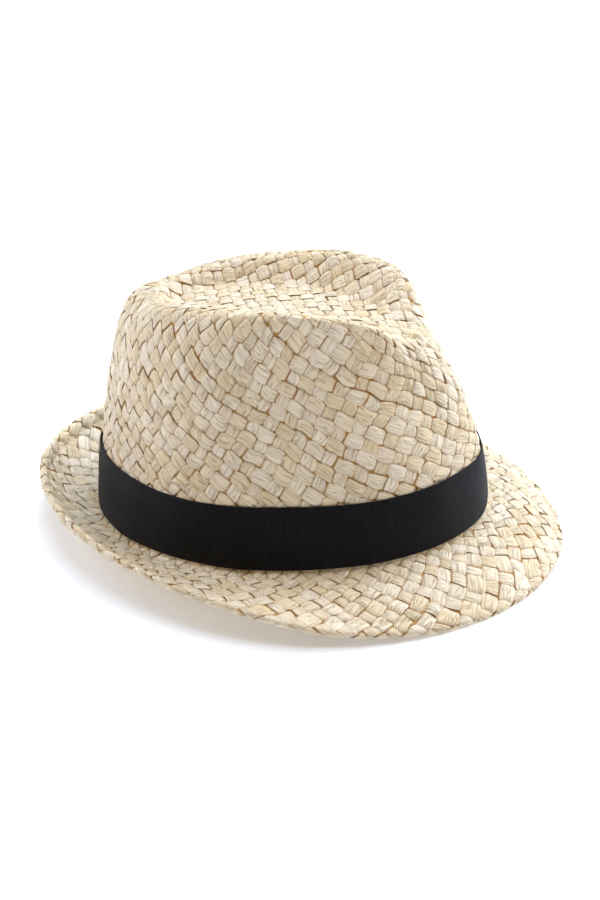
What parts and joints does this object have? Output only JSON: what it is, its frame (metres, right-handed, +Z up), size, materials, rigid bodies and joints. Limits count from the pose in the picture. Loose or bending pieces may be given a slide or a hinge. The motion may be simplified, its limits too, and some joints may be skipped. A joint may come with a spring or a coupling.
{
  "type": "straw trilby hat",
  "caption": "Woven straw trilby with a teardrop dent and front pinch in the crown, a black ribbon band and a narrow brim turned down in front and curled up behind.",
  "frame": {"origin": "bottom centre of the bounding box, on the surface that the hat rests on", "axes": "+Z up, -Y to the front of the hat, +X to the wearer's left"},
  "size_m": [0.2566, 0.2864, 0.1367],
  "materials": {
    "crown_straw": "plaited natural straw strips, cream with golden brown edges, slightly crinkled, matt to satin",
    "brim_straw": "plaited natural straw strips, cream with golden brown edges, slightly crinkled, matt to satin",
    "ribbon": "black ribbon, fine cross ribs, matt"
  },
  "bodies": {
    "root": {"crown": "crown_straw", "brim": "brim_straw", "hat_band": "ribbon"}
  },
  "joints": []
}
